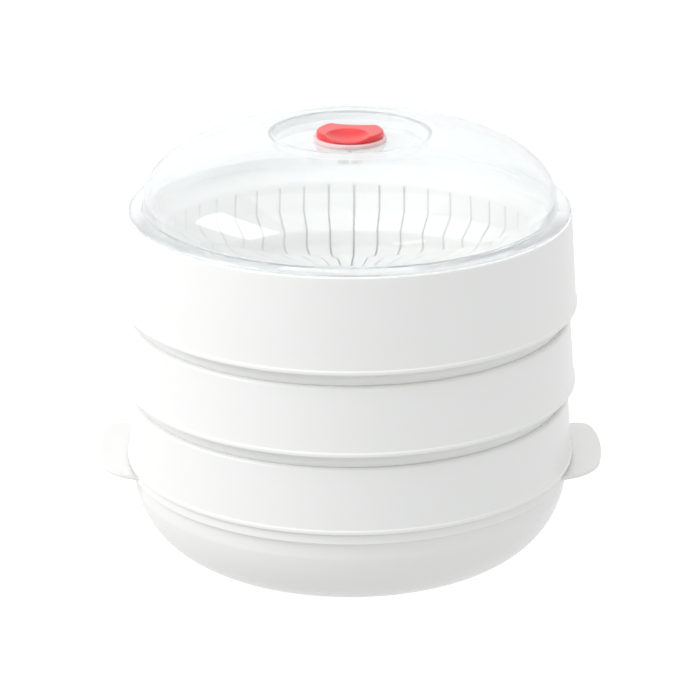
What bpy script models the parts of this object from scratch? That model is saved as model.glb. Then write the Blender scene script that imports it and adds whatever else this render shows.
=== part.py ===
"""Three-tier stacking food steamer for a microwave oven.

A round water bowl with two ear handles carries three wall rings. A slotted
basket hangs by its rim in each ring, a clear domed lid closes the stack, and a
red thumb knob turns on the lid to uncover its steam holes.

Metres, +Z up. The origin is the centre of the bowl's flat underside.
"""
import math

import bmesh
import bpy
from mathutils import Matrix, Vector

MM = 0.001

# ---- driving dimensions -----------------------------------------------------
GAP = 0.3 * MM              # clearance between two pieces that rest on each other
WALL = 2.0 * MM             # moulded wall thickness
SEGMENTS = 40               # facets around the large turned pieces
SMALL_SEGMENTS = 28         # facets around the knob and its seat

BOWL_HEIGHT = 48.6 * MM     # underside to the top of the rim flange
BOWL_SIDE_R = 109.6 * MM    # outside of the bowl under its flange
BOWL_FLANGE_R = 111.3 * MM
BOWL_FLANGE_DEPTH = 4.4 * MM
BOWL_BASE_R = 63.0 * MM     # flat part of the underside
BOWL_WALL = 2.2 * MM
BOWL_CURVE_CENTRE_R = 47.8 * MM
BOWL_CURVE_POWER = 0.62     # under 1 makes the side squarer than a circle
BOWL_CURVE_SWEEP = math.radians(80.0)
BOWL_SIDE_STEPS = 7         # facets up the rounded side
NECK_R = 106.5 * MM         # low neck that centres the first ring
NECK_INNER_R = 104.4 * MM
BOWL_NECK_HEIGHT = 6.0 * MM

EAR_TIP_R = 127.0 * MM
EAR_ROOT_R = 107.5 * MM     # inside the thickness of the bowl's wall
EAR_HALF_WIDTH = 35.5 * MM
EAR_CORNER_R = 14.0 * MM
EAR_CORNER_STEPS = 5
EAR_THICKNESS = 1.8 * MM
EAR_SLOPE = 0.2             # rise per metre outwards
EAR_DROP = 0.2 * MM         # ear's top below the bowl's rim, at the skirt's radius

TIER_PITCH = 40.9 * MM      # height that one ring and basket add
SKIRT_WALL = 3.0 * MM       # thickened foot of a ring's wall
SKIRT_R = 113.0 * MM        # widest radius, at the bottom of a ring's skirt
LOWER_SKIRT_R = 112.4 * MM
SHOULDER_R = 109.6 * MM
LOWER_SHOULDER_Z = 81.6 * MM
SKIRT_DROP = 7.0 * MM       # skirt bottom above the shoulder of the ring below
TOP_RING_R = 109.3 * MM
TOP_RING_WALL = 1.5 * MM
STACK_TOP_Z = 176.1 * MM    # top ring's edge, flush with the top basket's rim
LEDGE_R = 103.2 * MM        # stacking ledge inside a ring, over the rim below
LEDGE_RISE = 6.6 * MM       # ledge underside above the skirt's bottom
COLLAR_R = 107.3 * MM       # outer collar of a basket's turned-down rim
COLLAR_HEIGHT = 13.0 * MM

SLITS = 45
SLIT_WIDTH = 1.2 * MM
SLIT_INNER_R = 34.0 * MM
SLIT_OFFSET = math.radians(-1.3)
BASKET_RIM_INNER_R = 102.0 * MM
BASKET_DEPTH = 53.4 * MM    # rim to floor, inside
BASKET_WALL = 1.8 * MM
BASKET_INSIDE = (           # slotted part, floor to wall: radius and height below the rim
    (SLIT_INNER_R, -BASKET_DEPTH),
    (84.4 * MM, -BASKET_DEPTH),
    (91.0 * MM, -49.0 * MM),
    (88.4 * MM, -39.5 * MM),
    (95.6 * MM, -29.0 * MM),
    (94.3 * MM, -14.7 * MM),
)
BASKET_OUTSIDE = (
    (SLIT_INNER_R, -BASKET_DEPTH - BASKET_WALL),
    (85.1 * MM, -BASKET_DEPTH - BASKET_WALL),
    (92.9 * MM, -49.2 * MM),
    (90.3 * MM, -39.8 * MM),
    (97.4 * MM, -29.2 * MM),
    (96.1 * MM, -15.0 * MM),
)

LID_FLANGE_R = 108.8 * MM
LID_CREASE_R = 101.9 * MM
LID_CREASE_Z = 179.2 * MM
LID_WALL = 1.7 * MM
LIP_R = 101.2 * MM          # lip that locates the lid inside the top basket's rim
LIP_WALL = 1.6 * MM
LIP_DEPTH = 5.7 * MM
DOME_SPRING_Z = 182.9 * MM  # where the dome's elliptical arc starts
DOME_SPRING_R = 101.5 * MM
DOME_CENTRE_R = 27.4 * MM   # radius of the elliptical arc's centre
DOME_RISE = 33.1 * MM
DOME_STEPS = 6              # facets up the dome
RIDGE_R = 44.0 * MM         # ridge around the recessed disc
RECESS_R = 38.1 * MM
DISC_R = 37.0 * MM
DISC_Z = 210.8 * MM         # upper face of the recessed disc
DISC_THICKNESS = 1.8 * MM

PIVOT_R = 4.0 * MM          # knob spindle
BARB_R = 4.9 * MM           # snap barb at the spindle's lower end
BARB_TIP_R = 3.6 * MM
BARB_LENGTH = 2.0 * MM
VENT_HOLE_R = 1.3 * MM
VENT_HOLE_ORBIT = 12.7 * MM
VENT_HOLE_STEP = math.radians(17.0)
PINHOLE_R = 0.8 * MM
PINHOLE_Y = -20.5 * MM
SEAT_R = 17.9 * MM
SEAT_INNER_R = 15.2 * MM
SEAT_HEIGHT = 1.8 * MM
KNOB_R = 16.5 * MM
KNOB_PLATE_R = 14.8 * MM    # sealing plate inside the seat
KNOB_TOP_Z = 215.9 * MM
KNOB_TURN = math.radians(-8.0)  # the closed knob's dish points a little left of the front
KNOB_BACK_Y = 9.2 * MM      # middle of the hollow across the knob's back
KNOB_BACK_R = 31.0 * MM
KNOB_BACK_SEGMENTS = 48
DISH_CENTRE = (0.0, -9.6 * MM, 217.9 * MM)
DISH_RADII = (11.7 * MM, 13.0 * MM, 4.9 * MM)


# ---- mesh helpers -----------------------------------------------------------
def polar(radius, angle, height):
    """A point at a radius and angle about the Z axis."""
    return (radius * math.cos(angle), radius * math.sin(angle), height)


def turn(outline, segments):
    """Turn a closed outline of (radius, height) points about the Z axis."""
    bm = bmesh.new()
    columns = []
    for radius, height in outline:
        if radius == 0.0:
            columns.append([bm.verts.new((0.0, 0.0, height))] * segments)
            continue
        angles = [2.0 * math.pi * i / segments for i in range(segments)]
        columns.append([bm.verts.new(polar(radius, a, height)) for a in angles])
    for i, ring in enumerate(columns):
        following = columns[(i + 1) % len(columns)]
        if outline[i][0] == 0.0 and outline[(i + 1) % len(outline)][0] == 0.0:
            continue
        for j in range(segments):
            k = (j + 1) % segments
            corners = [ring[j], ring[k], following[k], following[j]]
            bm.faces.new(list(dict.fromkeys(corners)))
    bmesh.ops.recalc_face_normals(bm, faces=bm.faces)
    return bm


def add_object(name, bm, origin_z, collection):
    """Make an object from a mesh drawn in world space, with its origin on the Z axis."""
    bmesh.ops.translate(bm, vec=Vector((0.0, 0.0, -origin_z)), verts=bm.verts)
    mesh = bpy.data.meshes.new(name)
    bm.to_mesh(mesh)
    bm.free()
    mesh.shade_smooth()
    mesh.set_sharp_from_angle(angle=math.radians(35.0))
    obj = bpy.data.objects.new(name, mesh)
    obj.location = (0.0, 0.0, origin_z)
    collection.objects.link(obj)
    return obj


def add_boolean(obj, operation, other):
    """Cut or join another object's shape, which is then only a guide."""
    modifier = obj.modifiers.new(operation.lower(), "BOOLEAN")
    modifier.operation = operation
    modifier.object = other
    modifier.solver = "EXACT"
    other.hide_render = True
    other.display_type = "WIRE"


def add_material(name, colour, roughness, alpha=1.0):
    """A moulded plastic."""
    material = bpy.data.materials.new(name)
    material.use_nodes = True
    shader = material.node_tree.nodes["Principled BSDF"]
    shader.inputs["Base Color"].default_value = (*colour, 1.0)
    shader.inputs["Roughness"].default_value = roughness
    shader.inputs["Metallic"].default_value = 0.0
    shader.inputs["Alpha"].default_value = alpha
    return material


# ---- water bowl -------------------------------------------------------------
def bowl_side(offset):
    """The bowl's rounded side from under the flange to the edge of its flat base.

    A quarter of a superellipse, squarer at the side than a circle. The offset
    moves it inwards and upwards for the inside face.
    """
    top_z = BOWL_HEIGHT - BOWL_FLANGE_DEPTH
    reach = BOWL_SIDE_R - BOWL_CURVE_CENTRE_R - offset
    depth = top_z - offset
    points = []
    for i in range(BOWL_SIDE_STEPS + 1):
        angle = BOWL_CURVE_SWEEP * i / BOWL_SIDE_STEPS
        radius = BOWL_CURVE_CENTRE_R + reach * math.cos(angle) ** BOWL_CURVE_POWER
        points.append((radius, top_z - depth * math.sin(angle)))
    return points


def water_bowl_mesh():
    """Bowl with a rim flange and a low neck that centres the first ring."""
    flange_z = BOWL_HEIGHT - BOWL_FLANGE_DEPTH
    neck_top = BOWL_HEIGHT + BOWL_NECK_HEIGHT
    inside = bowl_side(BOWL_WALL)
    outline = [
        (0.0, BOWL_WALL),
        (BOWL_BASE_R - WALL, BOWL_WALL),
        *reversed(inside[1:-1]),
        (NECK_INNER_R, flange_z + 0.8 * MM),
        (NECK_INNER_R, neck_top),
        (NECK_R, neck_top),
        (NECK_R, BOWL_HEIGHT),
        (BOWL_FLANGE_R - 1.0 * MM, BOWL_HEIGHT),
        (BOWL_FLANGE_R, BOWL_HEIGHT - 1.2 * MM),
        (BOWL_FLANGE_R, flange_z + 0.6 * MM),
        *bowl_side(0.0)[:-1],
        (BOWL_BASE_R, 0.0),
        (0.0, 0.0),
    ]
    return turn(outline, SEGMENTS)


def ear_outline(side):
    """Plan of one ear: straight ends, round corners and a tip about the bowl's axis."""
    corner_y = EAR_HALF_WIDTH - EAR_CORNER_R
    corner_x = math.sqrt((EAR_TIP_R - EAR_CORNER_R) ** 2 - corner_y ** 2)
    first = math.atan2(corner_y, corner_x)
    half = []
    for i in range(EAR_CORNER_STEPS + 1):
        angle = first + (math.radians(90.0) - first) * i / EAR_CORNER_STEPS
        x = corner_x + EAR_CORNER_R * math.cos(angle)
        half.append((x, corner_y + EAR_CORNER_R * math.sin(angle)))
    root_angle = math.asin(EAR_HALF_WIDTH / EAR_ROOT_R)
    for i in range(3):
        half.append(polar(EAR_ROOT_R, root_angle * (1.0 - i / 3.0), 0.0)[:2])
    middle = [(EAR_TIP_R, 0.0)]
    root = [(EAR_ROOT_R, 0.0)]
    mirrored = [(x, -y) for x, y in reversed(half)]
    plan = [*middle, *half, *root, *mirrored]
    return [Vector((side * x, y, 0.0)) for x, y in plan]


def ear_mesh():
    """Both ears as thin plates that rise a little outwards."""
    bm = bmesh.new()
    for side in (-1, 1):
        plan = ear_outline(side)
        rims = []
        for drop in (0.0, EAR_THICKNESS):
            rim = []
            for point in plan:
                lift = (abs(point.x) - SKIRT_R) * EAR_SLOPE
                height = BOWL_HEIGHT - EAR_DROP + lift - drop
                rim.append(bm.verts.new((point.x, point.y, height)))
            rims.append(rim)
            bm.faces.new(rim)
        for i in range(len(plan)):
            j = (i + 1) % len(plan)
            bm.faces.new((rims[0][i], rims[0][j], rims[1][j], rims[1][i]))
    bmesh.ops.recalc_face_normals(bm, faces=bm.faces)
    return bm


# ---- wall rings -------------------------------------------------------------
def ring_mesh(skirt_z, skirt_r, shoulder_z):
    """A flared wall with a top ledge for its basket and a stacking ledge inside."""
    ledge_z = skirt_z + LEDGE_RISE
    outline = [
        (skirt_r, skirt_z),
        (SHOULDER_R, shoulder_z),
        (NECK_INNER_R, shoulder_z),
        (NECK_INNER_R, shoulder_z - WALL),
        (SHOULDER_R - WALL, shoulder_z - WALL),
        (skirt_r - SKIRT_WALL, ledge_z + WALL),
        (LEDGE_R, ledge_z + WALL),
        (LEDGE_R, ledge_z),
        (skirt_r - SKIRT_WALL, ledge_z),
        (skirt_r - SKIRT_WALL, skirt_z),
    ]
    return turn(outline, SEGMENTS)


def top_ring_mesh(skirt_z):
    """The tallest ring: its wall runs up past the basket's collar to the lid."""
    ledge_z = skirt_z + LEDGE_RISE
    seat_z = STACK_TOP_Z - COLLAR_HEIGHT - GAP
    outline = [
        (SKIRT_R, skirt_z),
        (TOP_RING_R, STACK_TOP_Z),
        (TOP_RING_R - TOP_RING_WALL, STACK_TOP_Z),
        (TOP_RING_R - TOP_RING_WALL, seat_z),
        (NECK_INNER_R, seat_z),
        (NECK_INNER_R, seat_z - WALL),
        (TOP_RING_R - 0.5 * TOP_RING_WALL, seat_z - WALL),
        (SKIRT_R - SKIRT_WALL, ledge_z + WALL),
        (LEDGE_R, ledge_z + WALL),
        (LEDGE_R, ledge_z),
        (SKIRT_R - SKIRT_WALL, ledge_z),
        (SKIRT_R - SKIRT_WALL, skirt_z),
    ]
    return turn(outline, SEGMENTS)


# ---- slotted baskets --------------------------------------------------------
def basket_mesh(rim_z):
    """A basket whose radial slits run from its wall across the floor.

    Each slit has one column of the mesh on either side of it, and the columns
    meet in a single edge above the slit's top, where the rim is whole.
    """
    rim = [
        (BASKET_RIM_INNER_R, -6.0 * MM),
        (BASKET_RIM_INNER_R, 0.0),
        (COLLAR_R, 0.0),
        (COLLAR_R, -COLLAR_HEIGHT),
        (COLLAR_R - BASKET_WALL, -COLLAR_HEIGHT),
        (COLLAR_R - BASKET_WALL, -BASKET_WALL),
        (BASKET_RIM_INNER_R + BASKET_WALL, -BASKET_WALL),
        (BASKET_RIM_INNER_R + BASKET_WALL, -6.6 * MM),
    ]
    bm = bmesh.new()

    def point(radius, angle, height):
        return bm.verts.new(polar(radius, angle, rim_z + height))

    slits = []
    for k in range(SLITS):
        middle = math.pi / 2.0 + SLIT_OFFSET + 2.0 * math.pi * k / SLITS
        edges = {}
        for label, line in (("inner", BASKET_INSIDE), ("outer", BASKET_OUTSIDE)):
            for side in (-1, 1):
                spread = [side * math.asin(SLIT_WIDTH / 2.0 / r) for r, _ in line]
                edges[label, side] = [point(r, middle + s, z) for (r, z), s in zip(line, spread)]
        edges["rim"] = [point(r, middle, z) for r, z in rim]
        slits.append(edges)

    last = len(BASKET_INSIDE) - 1
    for k, here in enumerate(slits):
        there = slits[(k + 1) % SLITS]
        # the rib between this slit and the next one
        left = [*here["inner", 1], *here["rim"], *reversed(here["outer", 1])]
        right = [*there["inner", -1], *there["rim"], *reversed(there["outer", -1])]
        for i in range(len(left) - 1):
            bm.faces.new((left[i], right[i], right[i + 1], left[i + 1]))
        # the rim closes above the slit
        bm.faces.new((here["inner", -1][last], here["inner", 1][last], here["rim"][0]))
        bm.faces.new((here["outer", 1][last], here["outer", -1][last], here["rim"][-1]))
        # the slit's two sides and two ends
        for side in (-1, 1):
            a = here["inner", side]
            b = here["outer", side]
            for i in range(last):
                bm.faces.new((a[i], a[i + 1], b[i + 1], b[i]))
        for i in (0, last):
            corners = [here[face, side][i] for face, side in
                       (("inner", -1), ("inner", 1), ("outer", 1), ("outer", -1))]
            bm.faces.new(corners)
    # the whole middle of the floor, above and below
    for label in ("inner", "outer"):
        bm.faces.new([edges[label, side][0] for edges in slits for side in (-1, 1)])
    bmesh.ops.recalc_face_normals(bm, faces=bm.faces)
    return bm


# ---- lid --------------------------------------------------------------------
def dome_arc(offset, end_r):
    """The dome's elliptical arc from its springing up to the ridge."""
    reach = DOME_SPRING_R - DOME_CENTRE_R - offset
    rise = DOME_RISE - offset
    end = math.acos((end_r - DOME_CENTRE_R) / reach)
    points = []
    for i in range(DOME_STEPS + 1):
        angle = end * i / DOME_STEPS
        radius = DOME_CENTRE_R + reach * math.cos(angle)
        points.append((radius, DOME_SPRING_Z + rise * math.sin(angle)))
    return points


def lid_mesh():
    """Domed lid with a flat flange, a locating lip and a recessed disc on top."""
    under = STACK_TOP_Z + GAP
    disc_under = DISC_Z - DISC_THICKNESS
    ridge_z = dome_arc(0.0, RIDGE_R)[-1][1]
    outline = [
        (PIVOT_R + GAP, DISC_Z),
        (DISC_R, DISC_Z),
        (RECESS_R, ridge_z - 0.2 * MM),
        *reversed(dome_arc(0.0, RIDGE_R)),
        (LID_CREASE_R, LID_CREASE_Z),
        (LID_FLANGE_R, under + 1.3 * MM),
        (LID_FLANGE_R, under),
        (LIP_R, under),
        (LIP_R, under - LIP_DEPTH),
        (LIP_R - LIP_WALL, under - LIP_DEPTH),
        *dome_arc(LID_WALL, RIDGE_R),
        (RECESS_R + LID_WALL, ridge_z - LID_WALL - 0.2 * MM),
        (DISC_R + LID_WALL, disc_under),
        (PIVOT_R + GAP, disc_under),
    ]
    return turn(outline, SEGMENTS)


def vent_cutter_mesh():
    """The steam holes beside the knob's spindle and one pinhole at the front."""
    bm = bmesh.new()
    low = DISC_Z - 3.0 * DISC_THICKNESS
    high = DISC_Z + DISC_THICKNESS
    holes = []
    for step in (-1, 0, 1):
        angle = math.pi + step * VENT_HOLE_STEP
        holes.append((*polar(VENT_HOLE_ORBIT, angle, 0.0)[:2], VENT_HOLE_R))
    holes.append((0.0, PINHOLE_Y, PINHOLE_R))
    for x, y, radius in holes:
        made = bmesh.ops.create_cone(bm, cap_ends=True, segments=10, radius1=radius,
                                     radius2=radius, depth=high - low)
        bmesh.ops.translate(bm, vec=Vector((x, y, (low + high) / 2.0)), verts=made["verts"])
    return bm


# ---- vent knob --------------------------------------------------------------
def vent_seat_mesh():
    """Pale ring that the knob turns in."""
    low = DISC_Z + GAP
    outline = [
        (SEAT_INNER_R, low),
        (SEAT_R, low),
        (SEAT_R, low + SEAT_HEIGHT - 0.3 * MM),
        (SEAT_R - 0.4 * MM, low + SEAT_HEIGHT),
        (SEAT_INNER_R, low + SEAT_HEIGHT),
    ]
    return turn(outline, SMALL_SEGMENTS)


def vent_knob_mesh():
    """Knob with a sealing plate, a spindle and a barb that snaps under the lid."""
    plate_z = DISC_Z + GAP
    flange_z = plate_z + SEAT_HEIGHT + GAP
    barb_z = DISC_Z - DISC_THICKNESS - GAP
    outline = [
        (0.0, KNOB_TOP_Z),
        (KNOB_R - 1.2 * MM, KNOB_TOP_Z),
        (KNOB_R, KNOB_TOP_Z - 1.0 * MM),
        (KNOB_R, flange_z),
        (KNOB_PLATE_R, flange_z),
        (KNOB_PLATE_R, plate_z),
        (PIVOT_R, plate_z),
        (PIVOT_R, barb_z),
        (BARB_R, barb_z),
        (BARB_TIP_R, barb_z - BARB_LENGTH),
        (0.0, barb_z - BARB_LENGTH),
    ]
    return turn(outline, SMALL_SEGMENTS)


def knob_back_cutter_mesh():
    """Upright cylinder that leaves a shallow hollow across the knob's back."""
    bm = bmesh.new()
    height = 2.0 * KNOB_R
    bmesh.ops.create_cone(bm, cap_ends=True, segments=KNOB_BACK_SEGMENTS, radius1=KNOB_BACK_R,
                          radius2=KNOB_BACK_R, depth=height)
    centre = Vector((0.0, KNOB_BACK_Y + KNOB_BACK_R, DISC_Z + 0.1 * MM + height / 2.0))
    bmesh.ops.translate(bm, vec=centre, verts=bm.verts)
    bmesh.ops.rotate(bm, matrix=Matrix.Rotation(KNOB_TURN, 3, "Z"), verts=bm.verts)
    return bm


def knob_dish_cutter_mesh():
    """Ellipsoid that scoops the thumb dish, open to the front."""
    bm = bmesh.new()
    bmesh.ops.create_uvsphere(bm, u_segments=24, v_segments=14, radius=1.0)
    bmesh.ops.scale(bm, vec=Vector(DISH_RADII), verts=bm.verts)
    bmesh.ops.translate(bm, vec=Vector(DISH_CENTRE), verts=bm.verts)
    bmesh.ops.rotate(bm, matrix=Matrix.Rotation(KNOB_TURN, 3, "Z"), verts=bm.verts)
    return bm


# ---- assembly ---------------------------------------------------------------
def build():
    for obj in list(bpy.data.objects):
        bpy.data.objects.remove(obj, do_unlink=True)
    collection = bpy.context.scene.collection
    stack = bpy.data.objects.new("steamer_stack", None)
    collection.objects.link(stack)

    white = add_material("white_plastic", (0.90, 0.90, 0.89), 0.34)
    cream = add_material("basket_plastic", (0.90, 0.88, 0.82), 0.42)
    bowl_white = add_material("bowl_plastic", (0.88, 0.89, 0.89), 0.30)
    clear = add_material("clear_lid_plastic", (0.86, 0.91, 0.93), 0.10, alpha=0.35)
    pale = add_material("seat_plastic", (0.93, 0.80, 0.80), 0.25)
    red = add_material("knob_red_plastic", (0.84, 0.05, 0.06), 0.28)

    def place(name, bm, origin_z, material):
        obj = add_object(name, bm, origin_z, collection)
        obj.data.materials.append(material)
        obj.parent = stack
        return obj

    bowl = place("water_bowl", water_bowl_mesh(), 0.0, bowl_white)
    ears = place("ear_guide", ear_mesh(), 0.0, bowl_white)
    add_boolean(bowl, "UNION", ears)

    middle_shoulder_z = LOWER_SHOULDER_Z + TIER_PITCH
    lower_skirt_z = BOWL_HEIGHT + GAP
    middle_skirt_z = LOWER_SHOULDER_Z + SKIRT_DROP
    top_skirt_z = middle_skirt_z + TIER_PITCH
    lower_ring = ring_mesh(lower_skirt_z, LOWER_SKIRT_R, LOWER_SHOULDER_Z)
    middle_ring = ring_mesh(middle_skirt_z, SKIRT_R, middle_shoulder_z)
    place("lower_ring", lower_ring, lower_skirt_z, white)
    place("middle_ring", middle_ring, middle_skirt_z, white)
    place("top_ring", top_ring_mesh(top_skirt_z), top_skirt_z, white)

    lower_rim_z = LOWER_SHOULDER_Z + GAP + COLLAR_HEIGHT
    rims = (
        ("lower_basket", lower_rim_z),
        ("middle_basket", lower_rim_z + TIER_PITCH),
        ("top_basket", STACK_TOP_Z),
    )
    for name, rim_z in rims:
        place(name, basket_mesh(rim_z), rim_z, cream)

    lid = place("lid", lid_mesh(), STACK_TOP_Z + GAP, clear)
    holes = place("vent_hole_cutter", vent_cutter_mesh(), STACK_TOP_Z + GAP, clear)
    add_boolean(lid, "DIFFERENCE", holes)

    place("vent_seat", vent_seat_mesh(), DISC_Z + GAP, pale)
    knob = place("vent_knob", vent_knob_mesh(), DISC_Z + GAP, red)
    back = place("knob_back_cutter", knob_back_cutter_mesh(), DISC_Z + GAP, red)
    dish = place("knob_dish_cutter", knob_dish_cutter_mesh(), DISC_Z + GAP, red)
    add_boolean(knob, "DIFFERENCE", back)
    add_boolean(knob, "DIFFERENCE", dish)


build()
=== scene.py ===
"""Looks of the three-tier stacking food steamer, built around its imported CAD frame.

Every visible piece is a fine turned mesh with moulded edge rounding. Heights come
from the frame's nodes, and the radii below are those of the CAD pieces. The slits are
narrower here, and only this scene has the skirts' beads and grooves, the flange's lean
and lip, the groove under it and the collars' sink. Metres, +Z up.
"""
import math

import bmesh
import bpy
from mathutils import Matrix, Vector


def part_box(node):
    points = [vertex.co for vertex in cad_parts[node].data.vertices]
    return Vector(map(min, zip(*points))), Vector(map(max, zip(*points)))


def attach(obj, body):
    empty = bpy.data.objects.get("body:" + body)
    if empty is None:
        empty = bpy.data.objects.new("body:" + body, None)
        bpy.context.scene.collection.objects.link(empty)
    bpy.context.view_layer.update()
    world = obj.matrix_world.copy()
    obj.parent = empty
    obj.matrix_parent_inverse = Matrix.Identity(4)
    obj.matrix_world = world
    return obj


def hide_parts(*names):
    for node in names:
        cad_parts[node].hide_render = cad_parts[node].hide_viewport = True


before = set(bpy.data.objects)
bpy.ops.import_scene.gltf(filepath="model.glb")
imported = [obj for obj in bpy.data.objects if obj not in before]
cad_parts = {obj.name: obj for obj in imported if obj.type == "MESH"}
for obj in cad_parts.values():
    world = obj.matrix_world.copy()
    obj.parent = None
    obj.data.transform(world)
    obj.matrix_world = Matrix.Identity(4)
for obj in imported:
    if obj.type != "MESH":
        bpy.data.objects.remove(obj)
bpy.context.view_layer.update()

MM = 0.001
GAP = 0.3 * MM
FINE_SEGMENTS = 180
KNOB_SEGMENTS = 96
SHARP_DEGREES = 32.0        # edges bent by more are shaded as edges
BASKET_SHARP_DEGREES = 40.0

# ---- radii and thicknesses of the moulded pieces -------------------------------
WALL = 2.0 * MM
NECK_R = 106.5 * MM
NECK_INNER_R = 104.4 * MM
NECK_FOOT_RISE = 0.8 * MM   # inside step where the bowl's side meets its neck
SHOULDER_R = 109.6 * MM
SKIRT_R = 113.0 * MM
LOWER_SKIRT_R = 112.4 * MM
SKIRT_WALL = 3.0 * MM
TOP_RING_R = 109.3 * MM
TOP_RING_WALL = 1.5 * MM
LEDGE_R = 103.2 * MM
LEDGE_RISE = 6.6 * MM
BEAD = 1.7 * MM             # height of the rounded bead along a skirt's bottom
BEAD_PROUD = 0.5 * MM

BOWL_SIDE_R = 109.6 * MM
BOWL_FLANGE_R = 111.3 * MM
BOWL_FLANGE_DEPTH = 4.4 * MM
FLANGE_LEAN = 0.9 * MM
FLANGE_LIP = 0.5 * MM       # the flange's edge reaches this far below its underside
GROOVE_DEPTH = 1.1 * MM     # groove in the bowl's side, close under its flange
GROOVE_TOP = 0.7 * MM
GROOVE_FOOT = 1.7 * MM
BOWL_BASE_R = 63.0 * MM
BOWL_WALL = 2.2 * MM
BOWL_CURVE_CENTRE_R = 47.8 * MM
BOWL_CURVE_POWER = 0.62
BOWL_CURVE_SWEEP = math.radians(80.0)
EAR_ROOT_R = 107.5 * MM
EAR_HALF_WIDTH = 35.5 * MM
EAR_CORNER_R = 14.0 * MM
EAR_THICKNESS = 1.8 * MM
EAR_SLOPE = 0.2
EAR_DROP = 0.2 * MM
EAR_ROUNDING = 0.6 * MM

SLITS = 45
SLIT_WIDTH = 0.8 * MM
SLIT_INNER_R = 34.0 * MM
SLIT_OFFSET = math.radians(-1.3)
SLIT_TOP_R = 94.3 * MM
SLIT_TOP_DEPTH = 14.7 * MM  # under the rim
BASKET_WALL = 1.8 * MM
BASKET_RIM_R = 102.0 * MM
BASKET_DEPTH = 53.4 * MM
FLOOR_EDGE_R = 84.4 * MM
BULGE_R = 91.0 * MM         # the wall bulges, narrows to a waist and widens to a breast
BULGE_DEPTH = 49.0 * MM
WAIST_R = 88.4 * MM
WAIST_DEPTH = 39.5 * MM
BREAST_R = 95.6 * MM
BREAST_DEPTH = 29.0 * MM
LINE_SPACING = 4.0 * MM
RIM_LEAN = 0.4 * MM         # from the slit tops up to where the wall turns outwards
RIM_TURN_RISE = 2.6 * MM    # inside; the wall turns outwards this far above the slits
RIM_TURN_RISE_OUT = 1.9 * MM
RIM_BEND_DEPTH = 6.5 * MM   # inside; the wall is upright again this far under the rim
RIM_BEND_DEPTH_OUT = 7.1 * MM
COLLAR_R = 107.3 * MM
COLLAR_HEIGHT = 13.0 * MM
COLLAR_SINK = 0.22 * MM     # lowers a collar's foot to just above its shoulder
RIB_COLUMNS = 5

LID_FLANGE_R = 108.8 * MM
LID_FLANGE_EDGE = 1.4 * MM  # height of the flange's outer edge
LID_CREASE_R = 101.9 * MM
LID_CREASE_RISE = 3.1 * MM  # crease above the top ring's edge
LID_WALL = 1.7 * MM
LIP_R = 101.2 * MM
LIP_WALL = 1.6 * MM
DOME_SPRING_R = 101.5 * MM
DOME_SPRING_RISE = 6.8 * MM # dome's arc starts this far above the top ring's edge
DOME_CENTRE_R = 27.4 * MM
DOME_RISE = 33.1 * MM
RIDGE_R = 44.0 * MM
RECESS_R = 38.1 * MM
DISC_R = 37.0 * MM
DISC_THICKNESS = 1.8 * MM
PIVOT_R = 4.0 * MM
BARB_R = 4.9 * MM
BARB_TIP_R = 3.6 * MM
VENT_HOLE_R = 1.3 * MM
VENT_HOLE_ORBIT = 12.7 * MM
VENT_HOLE_STEP = math.radians(17.0)
PINHOLE_R = 0.8 * MM
PINHOLE_Y = -20.5 * MM

SEAT_R = 17.9 * MM
SEAT_INNER_R = 15.2 * MM
KNOB_R = 16.5 * MM
KNOB_EDGE_WIDTH = 0.9 * MM  # bevel round the knob's top
KNOB_EDGE_DEPTH = 0.8 * MM
KNOB_PLATE_R = 14.8 * MM
KNOB_TURN = math.radians(-8.0)
KNOB_BACK_Y = 9.2 * MM
KNOB_BACK_R = 31.0 * MM
DISH_CENTRE_Y = -9.6 * MM
DISH_RISE = 2.0 * MM        # dish ellipsoid's centre above the knob's top
DISH_RADII = (11.7 * MM, 13.0 * MM, 4.9 * MM)
KNOB_VOXEL = 0.22 * MM

# ---- surroundings --------------------------------------------------------------
FLOOR_DROP = 0.4 * MM       # keeps the floor clear of the bowl's underside
FLOOR_GREY = 0.15
FLOOR_GLOW = 0.93
FLOOR_GLOW_ON_PIECES = 0.52
WORLD_COLOUR = (0.985, 1.0, 0.995, 1.0)
WORLD_STRENGTH = 0.80
# name, azimuth and elevation in degrees, distance, width, height, radiance
SOFTBOXES = (
    ("key_left", -74.0, 33.0, 1.6, 1.16, 0.92, 3.5),
    ("overhead", 0.0, 89.0, 1.2, 1.2, 1.2, 0.65),
    ("small_right", 33.0, 26.0, 1.6, 0.46, 0.24, 1.8),
)
CAMERA_ELEVATION = math.radians(20.0)
CAMERA_DISTANCE = 1.5
CAMERA_AIM_Z = 101.4 * MM
CAMERA_SENSOR = 36.0
CAMERA_LENS = 153.8

# ---- heights read from the frame -----------------------------------------------
BOWL_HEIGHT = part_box("lower_ring")[0].z - GAP
BOWL_NECK_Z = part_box("water_bowl")[1].z
EAR_TIP_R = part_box("water_bowl")[1].x
STACK_TOP_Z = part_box("top_ring")[1].z
DISC_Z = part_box("vent_seat")[0].z - GAP
SEAT_TOP_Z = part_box("vent_seat")[1].z
KNOB_TOP_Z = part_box("vent_knob")[1].z
KNOB_LOW_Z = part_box("vent_knob")[0].z


# ---- mesh helpers --------------------------------------------------------------
def polar(radius, angle, height):
    """A point at a radius and angle about the Z axis."""
    return (radius * math.cos(angle), radius * math.sin(angle), height)


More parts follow.
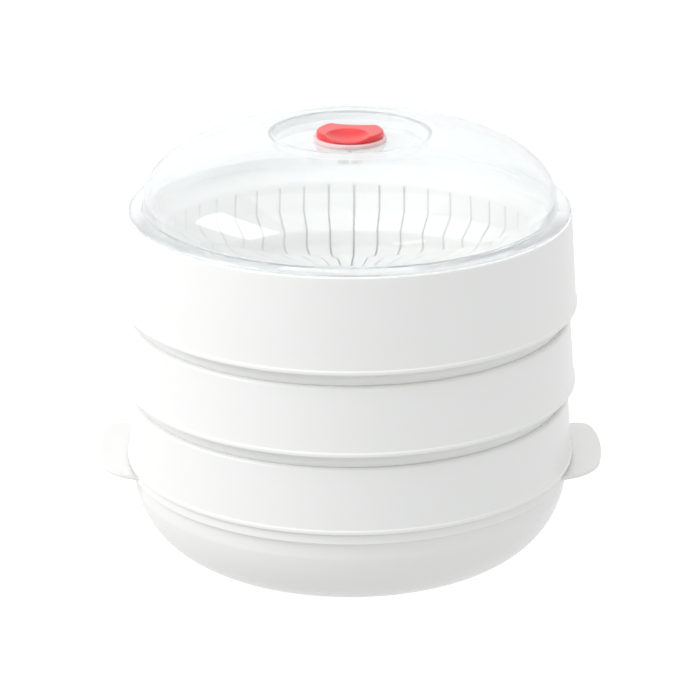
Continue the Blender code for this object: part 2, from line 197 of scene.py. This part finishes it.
def rounded(corners, steps=5):
    """An outline whose (radius, height, fillet) corners are rounded by arcs."""
    points = []
    for i, (radius, height, fillet) in enumerate(corners):
        here = Vector((radius, height))
        if fillet == 0.0:
            points.append((radius, height))
            continue
        before = Vector(corners[i - 1][:2]) - here
        after = Vector(corners[(i + 1) % len(corners)][:2]) - here
        half = before.angle(after) / 2.0
        reach = min(fillet / math.tan(half), 0.49 * before.length, 0.49 * after.length)
        arc_r = reach * math.tan(half)
        middle = (before.normalized() + after.normalized()).normalized()
        centre = here + middle * arc_r / math.sin(half)
        first = here + before.normalized() * reach - centre
        last = here + after.normalized() * reach - centre
        start = math.atan2(first.y, first.x)
        sweep = math.atan2(last.y, last.x) - start
        sweep = (sweep + math.pi) % (2.0 * math.pi) - math.pi
        for k in range(steps + 1):
            angle = start + sweep * k / steps
            points.append((centre.x + arc_r * math.cos(angle), centre.y + arc_r * math.sin(angle)))
    return points


def plain(points):
    """Outline points that take no fillet."""
    return [(radius, height, 0.0) for radius, height in points]


def turn(outline, segments=FINE_SEGMENTS):
    """Turn a closed outline of (radius, height) points about the Z axis."""
    bm = bmesh.new()
    columns = []
    for radius, height in outline:
        if radius < 1e-7:
            columns.append([bm.verts.new((0.0, 0.0, height))] * segments)
            continue
        angles = [2.0 * math.pi * j / segments for j in range(segments)]
        columns.append([bm.verts.new(polar(radius, a, height)) for a in angles])
    for i, ring in enumerate(columns):
        following = columns[(i + 1) % len(columns)]
        if ring[0] is ring[1] and following[0] is following[1]:
            continue
        for j in range(segments):
            k = (j + 1) % segments
            corners = [ring[j], ring[k], following[k], following[j]]
            bm.faces.new(list(dict.fromkeys(corners)))
    bmesh.ops.recalc_face_normals(bm, faces=bm.faces)
    return bm


def shade(obj, sharp_degrees=SHARP_DEGREES):
    """Smooth shading that keeps the sharp edges."""
    obj.data.shade_smooth()
    obj.data.set_sharp_from_angle(angle=math.radians(sharp_degrees))


def make_object(name, bm, sharp_degrees=SHARP_DEGREES):
    """A smooth-shaded object from a mesh drawn in the frame's space."""
    mesh = bpy.data.meshes.new(name)
    bm.to_mesh(mesh)
    bm.free()
    obj = bpy.data.objects.new(name, mesh)
    shade(obj, sharp_degrees)
    bpy.context.scene.collection.objects.link(obj)
    return obj


def weigh_normals(obj):
    """Keep flat faces flat beside their rounded edges."""
    modifier = obj.modifiers.new("weighted_normals", "WEIGHTED_NORMAL")
    modifier.keep_sharp = True
    modifier.weight = 80


def apply_modifiers(obj):
    """Replace an object's mesh by its evaluated one."""
    bpy.context.view_layer.update()
    depsgraph = bpy.context.evaluated_depsgraph_get()
    mesh = bpy.data.meshes.new_from_object(obj.evaluated_get(depsgraph))
    obj.modifiers.clear()
    obj.data = mesh


def combine(obj, operation, other):
    """Join or cut with another object, which is then removed."""
    modifier = obj.modifiers.new("combine", "BOOLEAN")
    modifier.operation = operation
    modifier.solver = "EXACT"
    modifier.object = other
    apply_modifiers(obj)
    bpy.data.objects.remove(other, do_unlink=True)


def dress(obj, node, body, material):
    """Set a piece's material, hang it on its body's empty and hide the CAD node that it stands
    for.
    """
    obj.data.materials.clear()
    obj.data.materials.append(material)
    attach(obj, body)
    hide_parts(node)


# ---- materials -----------------------------------------------------------------
def new_shader(name):
    """A material with its nodes and its Principled shader."""
    material = bpy.data.materials.new(name)
    material.use_nodes = True
    nodes = material.node_tree.nodes
    return material, nodes, material.node_tree.links, nodes["Principled BSDF"]


def noise(nodes, links, scale, detail):
    """Noise in the object's own coordinates, in features per metre."""
    place = nodes.new("ShaderNodeTexCoord")
    texture = nodes.new("ShaderNodeTexNoise")
    texture.inputs["Scale"].default_value = scale
    texture.inputs["Detail"].default_value = detail
    links.new(place.outputs["Object"], texture.inputs["Vector"])
    return texture


def spread(nodes, links, source, low, high):
    """Map a noise's middle range to a range of values."""
    mapped = nodes.new("ShaderNodeMapRange")
    mapped.inputs["From Min"].default_value = 0.3
    mapped.inputs["From Max"].default_value = 0.7
    mapped.inputs["To Min"].default_value = low
    mapped.inputs["To Max"].default_value = high
    links.new(source.outputs["Fac"], mapped.inputs["Value"])
    return mapped.outputs["Result"]


def moulded_plastic(name, colour, tint, roughness, scatter):
    """Moulded polypropylene: hardly visible clouds, an even gloss and light scattered inside."""
    material, nodes, links, shader = new_shader(name)
    clouds = noise(nodes, links, 14.0, 2.0)
    blend = nodes.new("ShaderNodeMix")
    blend.data_type = "RGBA"
    blend.inputs["A"].default_value = (*colour, 1.0)
    blend.inputs["B"].default_value = (*tint, 1.0)
    links.new(spread(nodes, links, clouds, 0.0, 1.0), blend.inputs["Factor"])
    links.new(blend.outputs["Result"], shader.inputs["Base Color"])
    shader.inputs["Roughness"].default_value = roughness
    shader.inputs["IOR"].default_value = 1.49
    shader.inputs["Subsurface Weight"].default_value = scatter
    shader.inputs["Subsurface Radius"].default_value = (1.0, 0.9, 0.8)
    shader.inputs["Subsurface Scale"].default_value = 2.0 * MM
    return material


def clear_plastic(name, colour, roughness, clarity):
    """Clear moulded plastic with a breath of haze in it."""
    material, _, _, shader = new_shader(name)
    shader.inputs["Base Color"].default_value = (*colour, 1.0)
    shader.inputs["Transmission Weight"].default_value = clarity
    shader.inputs["IOR"].default_value = 1.45
    shader.inputs["Roughness"].default_value = roughness
    return material


# ---- water bowl ----------------------------------------------------------------
def bowl_side(offset, steps=36):
    """The bowl's rounded side, a quarter of a superellipse from flange to base."""
    top_z = BOWL_HEIGHT - BOWL_FLANGE_DEPTH
    reach = BOWL_SIDE_R - BOWL_CURVE_CENTRE_R - offset
    points = []
    for i in range(steps + 1):
        angle = BOWL_CURVE_SWEEP * i / steps
        radius = BOWL_CURVE_CENTRE_R + reach * math.cos(angle) ** BOWL_CURVE_POWER
        points.append((radius, top_z - (top_z - offset) * math.sin(angle)))
    return points


def ear_plan(side):
    """Plan of one ear: straight ends, round corners and a tip about the bowl's axis."""
    corner_y = EAR_HALF_WIDTH - EAR_CORNER_R
    corner_x = math.sqrt((EAR_TIP_R - EAR_CORNER_R) ** 2 - corner_y ** 2)
    first = math.atan2(corner_y, corner_x)
    last = math.radians(90.0)
    half = [polar(EAR_TIP_R, first * i / 8.0, 0.0)[:2] for i in range(1, 8)]
    for i in range(15):
        angle = first + (last - first) * i / 14.0
        x = corner_x + EAR_CORNER_R * math.cos(angle)
        half.append((x, corner_y + EAR_CORNER_R * math.sin(angle)))
    root = math.asin(EAR_HALF_WIDTH / EAR_ROOT_R)
    half += [polar(EAR_ROOT_R, root * (1.0 - i / 6.0), 0.0)[:2] for i in range(6)]
    mirrored = [(x, -y) for x, y in reversed(half)]
    plan = [(EAR_TIP_R, 0.0), *half, (EAR_ROOT_R, 0.0), *mirrored]
    return [Vector((side * x, y, 0.0)) for x, y in plan]


def ears():
    """Both ears as thin plates with rounded rims that rise a little outwards."""
    bm = bmesh.new()
    for side in (-1, 1):
        plan = ear_plan(side)
        rims = []
        for drop in (0.0, EAR_THICKNESS):
            rim = []
            for point in plan:
                lift = (abs(point.x) - SKIRT_R) * EAR_SLOPE
                rim.append(bm.verts.new((point.x, point.y, BOWL_HEIGHT - EAR_DROP + lift - drop)))
            rims.append(rim)
            bm.faces.new(rim)
        for i in range(len(plan)):
            j = (i + 1) % len(plan)
            bm.faces.new((rims[0][i], rims[0][j], rims[1][j], rims[1][i]))
    bmesh.ops.recalc_face_normals(bm, faces=bm.faces)
    flat_rims = [e for e in bm.edges if e.calc_face_angle(0.0) > math.radians(60.0)]
    bmesh.ops.bevel(bm, geom=flat_rims, offset=EAR_ROUNDING, segments=3, affect="EDGES",
                    clamp_overlap=True)
    return make_object("ear_plates", bm)


def water_bowl(material):
    """The bowl with its neck, flange and groove, and both ears joined on.

    The side's curve leaves out its end points, where the fillets are.
    """
    flange_z = BOWL_HEIGHT - BOWL_FLANGE_DEPTH
    inside = bowl_side(BOWL_WALL)
    groove_r = BOWL_SIDE_R - GROOVE_DEPTH
    corners = [
        (0.0, BOWL_WALL, 0.0),
        (BOWL_BASE_R - WALL, BOWL_WALL, 0.0),
        *plain(reversed(inside[4:-1])),
        (NECK_INNER_R, flange_z + NECK_FOOT_RISE, 0.6 * MM),
        (NECK_INNER_R, BOWL_NECK_Z, 0.7 * MM),
        (NECK_R, BOWL_NECK_Z, 0.9 * MM),
        (NECK_R, BOWL_HEIGHT, 0.3 * MM),
        (BOWL_FLANGE_R - FLANGE_LEAN, BOWL_HEIGHT, 1.3 * MM),
        (BOWL_FLANGE_R, flange_z - FLANGE_LIP, 0.4 * MM),
        (groove_r, flange_z - GROOVE_TOP, 0.4 * MM),
        (groove_r, flange_z - GROOVE_FOOT, 0.5 * MM),
        *plain(bowl_side(0.0)[5:-1]),
        (BOWL_BASE_R, 0.0, 3.0 * MM),
        (0.0, 0.0, 0.0),
    ]
    bowl = make_object("water_bowl_shell", turn(rounded(corners)))
    combine(bowl, "UNION", ears())
    shade(bowl)
    weigh_normals(bowl)
    dress(bowl, "water_bowl", "water_bowl", material)


# ---- wall rings ----------------------------------------------------------------
def skirt_corners(skirt_r, skirt_z, wall_r, wall_z):
    """The outer wall's foot: a rounded bead under a shallow groove."""
    lean = (skirt_r - wall_r) / (wall_z - skirt_z)
    groove_z = skirt_z + BEAD + 0.5 * MM
    groove_r = skirt_r - BEAD_PROUD - lean * (groove_z - skirt_z)
    return [
        (skirt_r - SKIRT_WALL, skirt_z, 0.4 * MM),
        (skirt_r, skirt_z, 0.5 * MM),
        (skirt_r, skirt_z + BEAD, 0.8 * MM),
        (groove_r, groove_z, 0.4 * MM),
    ]


def stacking_ledge(skirt_r, skirt_z):
    """The ledge inside a skirt that stands over the rim below."""
    ledge_z = skirt_z + LEDGE_RISE
    return [
        (skirt_r - SKIRT_WALL, ledge_z + WALL, 0.8 * MM),
        (LEDGE_R, ledge_z + WALL, 0.6 * MM),
        (LEDGE_R, ledge_z, 0.6 * MM),
        (skirt_r - SKIRT_WALL, ledge_z, 0.8 * MM),
    ]


def wall_ring(name, node, skirt_r, material):
    """A plain wall ring: skirt, leaning wall, shoulder and inner ledge."""
    low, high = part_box(node)
    corners = [
        *skirt_corners(skirt_r, low.z, SHOULDER_R, high.z),
        (SHOULDER_R, high.z, 1.9 * MM),
        (NECK_INNER_R, high.z, 0.6 * MM),
        (NECK_INNER_R, high.z - WALL, 0.6 * MM),
        (SHOULDER_R - WALL, high.z - WALL, 0.6 * MM),
        *stacking_ledge(skirt_r, low.z),
    ]
    ring = make_object(name, turn(rounded(corners)))
    weigh_normals(ring)
    dress(ring, node, node, material)


def top_wall_ring(material):
    """The top ring, taller, with a thin upper wall that encloses its basket's collar."""
    low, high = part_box("top_ring")
    seat_z = high.z - COLLAR_HEIGHT - GAP
    corners = [
        *skirt_corners(SKIRT_R, low.z, TOP_RING_R, high.z),
        (TOP_RING_R, high.z, 0.6 * MM),
        (TOP_RING_R - TOP_RING_WALL, high.z, 0.4 * MM),
        (TOP_RING_R - TOP_RING_WALL, seat_z, 0.5 * MM),
        (NECK_INNER_R, seat_z, 0.5 * MM),
        (NECK_INNER_R, seat_z - WALL, 0.5 * MM),
        (TOP_RING_R - 0.5 * TOP_RING_WALL, seat_z - WALL, 0.5 * MM),
        *stacking_ledge(SKIRT_R, low.z),
    ]
    ring = make_object("top_ring_wall", turn(rounded(corners)))
    weigh_normals(ring)
    dress(ring, "top_ring", "top_ring", material)


# ---- slotted baskets -----------------------------------------------------------
def resample(points, spacing):
    """Points at about an even spacing along a line."""
    line = [Vector(points[0])]
    for a, b in zip(points, points[1:]):
        a, b = Vector(a), Vector(b)
        pieces = max(1, round((b - a).length / spacing))
        line += [a.lerp(b, (i + 1) / pieces) for i in range(pieces)]
    return line


def basket_wall(rim_z):
    """Inside line of the slit part, from the floor's centre side up to the slit tops."""
    corners = [
        (SLIT_INNER_R, -BASKET_DEPTH, 0.0),
        (FLOOR_EDGE_R, -BASKET_DEPTH, 4.5 * MM),
        (BULGE_R, -BULGE_DEPTH, 4.0 * MM),
        (WAIST_R, -WAIST_DEPTH, 3.5 * MM),
        (BREAST_R, -BREAST_DEPTH, 6.0 * MM),
        (SLIT_TOP_R, -SLIT_TOP_DEPTH, 0.0),
    ]
    curve = rounded(corners, 6)
    return [Vector((r, z + rim_z)) for r, z in resample(curve, LINE_SPACING)]


def offset_line(line, distance):
    """The line moved sideways, away from the basket's inside."""
    moved = []
    for i, point in enumerate(line):
        before = line[max(i - 1, 0)]
        after = line[min(i + 1, len(line) - 1)]
        along = (after - before).normalized()
        moved.append(point + Vector((along.y, -along.x)) * distance)
    return moved


def add_slit_ends(line):
    """Extra points close to both ends, where a slit's end is round."""
    half = SLIT_WIDTH / 2.0
    extra = [half * share for share in (0.12, 0.4, 1.0)]
    first = (line[1] - line[0]).normalized()
    last = (line[-2] - line[-1]).normalized()
    start = [line[0] + first * step for step in extra]
    end = [line[-1] + last * step for step in reversed(extra)]
    return [line[0], *start, *line[1:-1], *end, line[-1]]


def slit_half_width(line, index):
    """Half the slit's width at a point of its line, round at both ends."""
    half = SLIT_WIDTH / 2.0
    run = min((line[index] - line[0]).length, (line[index] - line[-1]).length)
    if run >= half:
        return half
    return max(math.sqrt(half ** 2 - (half - run) ** 2), 0.08 * half)


def basket_rim(rim_z):
    """The line above the slits: up to the rim, over it, down the collar and back inside it."""
    slit_z = rim_z - SLIT_TOP_DEPTH
    foot_z = rim_z - COLLAR_HEIGHT - COLLAR_SINK
    outer_r = BASKET_RIM_R + BASKET_WALL
    corners = [
        (SLIT_TOP_R, slit_z, 0.0),
        (SLIT_TOP_R + RIM_LEAN, slit_z + RIM_TURN_RISE, 6.0 * MM),
        (BASKET_RIM_R, rim_z - RIM_BEND_DEPTH, 6.0 * MM),
        (BASKET_RIM_R, rim_z, 0.8 * MM),
        (COLLAR_R, rim_z, 0.7 * MM),
        (COLLAR_R, foot_z, 0.15 * MM),
        (COLLAR_R - BASKET_WALL, foot_z, 0.3 * MM),
        (COLLAR_R - BASKET_WALL, rim_z - BASKET_WALL, 0.6 * MM),
        (outer_r, rim_z - BASKET_WALL, 0.5 * MM),
        (outer_r, rim_z - RIM_BEND_DEPTH_OUT, 4.0 * MM),
        (SLIT_TOP_R + BASKET_WALL + RIM_LEAN, slit_z + RIM_TURN_RISE_OUT, 4.0 * MM),
        (SLIT_TOP_R + BASKET_WALL, slit_z - 0.3 * MM, 0.0),
    ]
    return rounded(corners)[1:-1]


def section_rows(inner, rim):
    """The (radius, height, slit half-angle) rows of a section, inside first, outside last."""
    outer = offset_line(inner, BASKET_WALL)
    halves = [slit_half_width(inner, i) for i in range(len(inner))]
    spreads = [math.asin(h / p.x) for h, p in zip(halves, inner)]
    rows = [(p.x, p.y, s) for p, s in zip(inner, spreads)]
    rows += [(r, z, spreads[-1]) for r, z in rim]
    rows += [(p.x, p.y, s) for p, s in zip(reversed(outer), reversed(spreads))]
    return rows


def pitch_columns(bm, rows, middle):
    """Vertex columns of one pitch: both sides of its slit, then across the rib beside it."""
    pitch = 2.0 * math.pi / SLITS
    columns = [[bm.verts.new(polar(r, middle - half, z)) for r, z, half in rows]]
    for c in range(RIB_COLUMNS):
        share = c / RIB_COLUMNS
        column = []
        for radius, height, half in rows:
            angle = middle + half + share * (pitch - 2.0 * half)
            column.append(bm.verts.new(polar(radius, angle, height)))
        columns.append(column)
    return columns


def skin_pitch(bm, columns, following, count):
    """Faces of one pitch: its rib, the rim over its slit and the slit's own walls."""
    total = len(columns[0])
    strips = [*zip(columns[1:], columns[2:]), (columns[-1], following[0])]
    for left, right in strips:
        for i in range(total - 1):
            bm.faces.new((left[i], right[i], right[i + 1], left[i + 1]))
    low, high = columns[0], columns[1]
    for i in range(count - 1, total - count):
        bm.faces.new((low[i], high[i], high[i + 1], low[i + 1]))
    for side in (low, high):
        for i in range(count - 1):
            bm.faces.new((side[i], side[i + 1], side[total - 2 - i], side[total - 1 - i]))
    bm.faces.new((low[0], high[0], high[total - 1], low[total - 1]))
    bm.faces.new((low[count - 1], high[count - 1], high[total - count], low[total - count]))


def basket(name, node, material):
    """A basket with slits cut through its wall and floor, and a turned-down rim."""
    rim_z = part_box(node)[1].z
    inner = add_slit_ends(basket_wall(rim_z))
    rows = section_rows(inner, basket_rim(rim_z))
    bm = bmesh.new()
    sectors = []
    for k in range(SLITS):
        middle = math.pi / 2.0 + SLIT_OFFSET + 2.0 * math.pi * k / SLITS
        sectors.append(pitch_columns(bm, rows, middle))
    for k, columns in enumerate(sectors):
        skin_pitch(bm, columns, sectors[(k + 1) % SLITS], len(inner))
    for row in (0, len(rows) - 1):
        bm.faces.new([column[row] for columns in sectors for column in columns])
    bmesh.ops.recalc_face_normals(bm, faces=bm.faces)
    shell = make_object(name, bm, BASKET_SHARP_DEGREES)
    dress(shell, node, node, material)


# ---- lid -----------------------------------------------------------------------
def dome_arc(offset, steps=40):
    """The dome's elliptical arc from its springing up to the ridge."""
    reach = DOME_SPRING_R - DOME_CENTRE_R - offset
    rise = DOME_RISE - offset
    end = math.acos((RIDGE_R - DOME_CENTRE_R) / reach)
    spring_z = STACK_TOP_Z + DOME_SPRING_RISE
    points = []
    for i in range(steps + 1):
        angle = end * i / steps
        points.append((DOME_CENTRE_R + reach * math.cos(angle), spring_z + rise * math.sin(angle)))
    return points


def vent_holes():
    """Cutters for the steam holes beside the knob's spindle and the pinhole at the front."""
    bm = bmesh.new()
    holes = [((0.0, PINHOLE_Y), PINHOLE_R)]
    for step in (-1, 0, 1):
        centre = polar(VENT_HOLE_ORBIT, math.pi + step * VENT_HOLE_STEP, 0.0)
        holes.append((centre[:2], VENT_HOLE_R))
    for (x, y), radius in holes:
        made = bmesh.ops.create_cone(bm, cap_ends=True, segments=32, radius1=radius,
                                     radius2=radius, depth=4.0 * DISC_THICKNESS)
        bmesh.ops.translate(bm, vec=Vector((x, y, DISC_Z)), verts=made["verts"])
    return make_object("vent_holes", bm)


def lid(material):
    """The clear dome with its recess, flange and lip, and its steam holes cut through."""
    under = STACK_TOP_Z + GAP
    lip_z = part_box("lid")[0].z
    disc_under = DISC_Z - DISC_THICKNESS
    ridge_z = dome_arc(0.0)[-1][1]
    corners = [
        (PIVOT_R + GAP, DISC_Z, 0.2 * MM),
        (DISC_R, DISC_Z, 0.2 * MM),
        (RECESS_R, ridge_z + 0.1 * MM, 0.15 * MM),
        *plain(reversed(dome_arc(0.0)[1:])),
        (DOME_SPRING_R, STACK_TOP_Z + DOME_SPRING_RISE, 0.0),
        (LID_CREASE_R, STACK_TOP_Z + LID_CREASE_RISE, 0.7 * MM),
        (LID_FLANGE_R, under + LID_FLANGE_EDGE, 0.6 * MM),
        (LID_FLANGE_R, under, 0.5 * MM),
        (LIP_R, under, 0.3 * MM),
        (LIP_R, lip_z, 0.5 * MM),
        (LIP_R - LIP_WALL, lip_z, 0.5 * MM),
        *plain(dome_arc(LID_WALL)),
        (RECESS_R + LID_WALL, ridge_z - LID_WALL + 0.1 * MM, 0.6 * MM),
        (DISC_R + LID_WALL, disc_under, 0.8 * MM),
        (PIVOT_R + GAP, disc_under, 0.2 * MM),
    ]
    cover = make_object("lid_dome", turn(rounded(corners)))
    combine(cover, "DIFFERENCE", vent_holes())
    shade(cover)
    weigh_normals(cover)
    cover.visible_shadow = False
    dress(cover, "lid", "lid", material)


# ---- vent ----------------------------------------------------------------------
def vent_seat(material):
    """The ring that the knob turns in."""
    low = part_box("vent_seat")[0].z
    corners = [
        (SEAT_INNER_R, low, 0.2 * MM),
        (SEAT_R, low, 0.3 * MM),
        (SEAT_R, SEAT_TOP_Z, 0.5 * MM),
        (SEAT_INNER_R, SEAT_TOP_Z, 0.3 * MM),
    ]
    ring = make_object("vent_seat_ring", turn(rounded(corners), KNOB_SEGMENTS))
    weigh_normals(ring)
    dress(ring, "vent_seat", "lid", material)


def knob_back_cutter():
    """An upright cylinder that hollows the knob's back."""
    bm = bmesh.new()
    height = 2.0 * KNOB_R
    bmesh.ops.create_cone(bm, cap_ends=True, segments=192, radius1=KNOB_BACK_R,
                          radius2=KNOB_BACK_R, depth=height)
    centre = Vector((0.0, KNOB_BACK_Y + KNOB_BACK_R, DISC_Z + 0.1 * MM + height / 2.0))
    bmesh.ops.translate(bm, vec=centre, verts=bm.verts)
    bmesh.ops.rotate(bm, matrix=Matrix.Rotation(KNOB_TURN, 3, "Z"), verts=bm.verts)
    return make_object("knob_back", bm)


def knob_dish_cutter():
    """An ellipsoid that leaves the thumb dish in the knob's top."""
    bm = bmesh.new()
    bmesh.ops.create_uvsphere(bm, u_segments=96, v_segments=48, radius=1.0)
    bmesh.ops.scale(bm, vec=Vector(DISH_RADII), verts=bm.verts)
    middle = Vector((0.0, DISH_CENTRE_Y, KNOB_TOP_Z + DISH_RISE))
    bmesh.ops.translate(bm, vec=middle, verts=bm.verts)
    bmesh.ops.rotate(bm, matrix=Matrix.Rotation(KNOB_TURN, 3, "Z"), verts=bm.verts)
    return make_object("knob_dish", bm)


def vent_knob(material):
    """The knob, rounded all over by a fine remesh and smoothing."""
    plate_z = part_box("vent_seat")[0].z
    flange_z = SEAT_TOP_Z + GAP
    barb_z = DISC_Z - DISC_THICKNESS - GAP
    outline = [
        (0.0, KNOB_TOP_Z),
        (KNOB_R - KNOB_EDGE_WIDTH, KNOB_TOP_Z),
        (KNOB_R, KNOB_TOP_Z - KNOB_EDGE_DEPTH),
        (KNOB_R, flange_z),
        (KNOB_PLATE_R, flange_z),
        (KNOB_PLATE_R, plate_z),
        (PIVOT_R, plate_z),
        (PIVOT_R, barb_z),
        (BARB_R, barb_z),
        (BARB_TIP_R, KNOB_LOW_Z),
        (0.0, KNOB_LOW_Z),
    ]
    knob = make_object("vent_knob_cap", turn(outline, KNOB_SEGMENTS))
    combine(knob, "DIFFERENCE", knob_back_cutter())
    combine(knob, "DIFFERENCE", knob_dish_cutter())
    remesh = knob.modifiers.new("even", "REMESH")
    remesh.mode = "VOXEL"
    remesh.voxel_size = KNOB_VOXEL
    smooth = knob.modifiers.new("soften", "SMOOTH")
    smooth.factor = 0.5
    smooth.iterations = 3
    apply_modifiers(knob)
    knob.data.shade_smooth()
    dress(knob, "vent_knob", "vent_knob", material)


# ---- stage, lights and camera --------------------------------------------------
def stage_white():
    """A matt white floor that glows more for the eye than for the pieces that it lights."""
    material, nodes, links, shader = new_shader("stage_white")
    shader.inputs["Base Color"].default_value = (FLOOR_GREY, FLOOR_GREY, FLOOR_GREY, 1.0)
    shader.inputs["Roughness"].default_value = 0.9
    shader.inputs["Specular IOR Level"].default_value = 0.0
    shader.inputs["Emission Color"].default_value = (1.0, 1.0, 1.0, 1.0)
    path = nodes.new("ShaderNodeLightPath")
    glow = nodes.new("ShaderNodeMix")
    glow.inputs["A"].default_value = FLOOR_GLOW
    glow.inputs["B"].default_value = FLOOR_GLOW_ON_PIECES
    links.new(path.outputs["Is Diffuse Ray"], glow.inputs["Factor"])
    links.new(glow.outputs["Result"], shader.inputs["Emission Strength"])
    material.cycles.emission_sampling = "NONE"
    return material


def stage():
    """A pale floor that runs up into a backdrop."""
    half_width = 4.0
    front, back, bend, height = -3.0, 3.5, 0.8, 3.0
    sides = (-half_width, half_width)
    profile = [(front, 0.0)]
    for i in range(13):
        angle = math.radians(90.0) * i / 12
        profile.append((back - bend + bend * math.sin(angle), bend - bend * math.cos(angle)))
    profile.append((back, height))
    bm = bmesh.new()
    rows = [[bm.verts.new((x, y, z - FLOOR_DROP)) for x in sides] for y, z in profile]
    for a, b in zip(rows, rows[1:]):
        bm.faces.new((a[0], a[1], b[1], b[0]))
    floor = make_object("stage_floor", bm, 60.0)
    floor.data.materials.append(stage_white())


def softbox(name, azimuth, elevation, distance, width, height, radiance):
    """A softbox seen from the lid at an azimuth from the front, plus towards +X."""
    target = Vector((0.0, 0.0, STACK_TOP_Z))
    across, up = math.radians(azimuth), math.radians(elevation)
    level = math.cos(up)
    way = Vector((level * math.sin(across), -level * math.cos(across), math.sin(up)))
    data = bpy.data.lights.new(name, "AREA")
    data.shape = "RECTANGLE"
    data.size = width
    data.size_y = height
    data.energy = radiance * math.pi * width * height
    light = bpy.data.objects.new(name, data)
    light.location = target + way * distance
    light.rotation_euler = (-way).to_track_quat("-Z", "Y").to_euler()
    bpy.context.scene.collection.objects.link(light)


def lights():
    """An even pale studio with softboxes at the left, overhead and at the right."""
    world = bpy.data.worlds.new("studio")
    bpy.context.scene.world = world
    world.use_nodes = True
    background = world.node_tree.nodes["Background"]
    background.inputs["Color"].default_value = WORLD_COLOUR
    background.inputs["Strength"].default_value = WORLD_STRENGTH
    for settings in SOFTBOXES:
        softbox(*settings)


def camera():
    """A long lens in front of the stack, a little above it."""
    data = bpy.data.cameras.new("camera")
    eye = bpy.data.objects.new("camera", data)
    away = Vector((0.0, -math.cos(CAMERA_ELEVATION), math.sin(CAMERA_ELEVATION)))
    eye.location = Vector((0.0, 0.0, CAMERA_AIM_Z)) + CAMERA_DISTANCE * away
    eye.rotation_euler = (math.radians(90.0) - CAMERA_ELEVATION, 0.0, 0.0)
    data.sensor_width = CAMERA_SENSOR
    data.lens = CAMERA_LENS
    bpy.context.scene.collection.objects.link(eye)
    bpy.context.scene.camera = eye


# ---- assembly ------------------------------------------------------------------
def build():
    """Every material and piece, then what surrounds them."""
    white = moulded_plastic(
        "ring_white", (0.905, 0.905, 0.895), (0.897, 0.90, 0.89), roughness=0.30, scatter=0.12)
    cream = moulded_plastic(
        "basket_cream", (0.915, 0.91, 0.89), (0.907, 0.90, 0.88), roughness=0.38, scatter=0.6)
    bowl_white = moulded_plastic(
        "bowl_white", (0.892, 0.892, 0.88), (0.885, 0.885, 0.875), roughness=0.27, scatter=0.12)
    seat_pale = moulded_plastic(
        "seat_pale", (0.93, 0.62, 0.64), (0.925, 0.61, 0.63), roughness=0.20, scatter=0.7)
    red = moulded_plastic(
        "knob_red", (0.82, 0.045, 0.05), (0.81, 0.04, 0.048), roughness=0.24, scatter=0.05)
    clear = clear_plastic("lid_clear", (0.96, 0.978, 0.985), roughness=0.04, clarity=0.80)
    water_bowl(bowl_white)
    wall_ring("lower_ring_wall", "lower_ring", LOWER_SKIRT_R, white)
    wall_ring("middle_ring_wall", "middle_ring", SKIRT_R, white)
    top_wall_ring(white)
    for tier in ("lower", "middle", "top"):
        basket(f"{tier}_basket_shell", f"{tier}_basket", cream)
    lid(clear)
    vent_seat(seat_pale)
    vent_knob(red)
    stage()
    lights()
    camera()


def raise_bounces():
    """Enough bounces for the light that passes the clear lid's many surfaces."""
    cycles = bpy.context.scene.cycles
    cycles.max_bounces = 32
    cycles.diffuse_bounces = 8
    cycles.glossy_bounces = 16
    cycles.transmission_bounces = 24


build()
raise_bounces()
bpy.context.scene.view_settings.view_transform = "Standard"
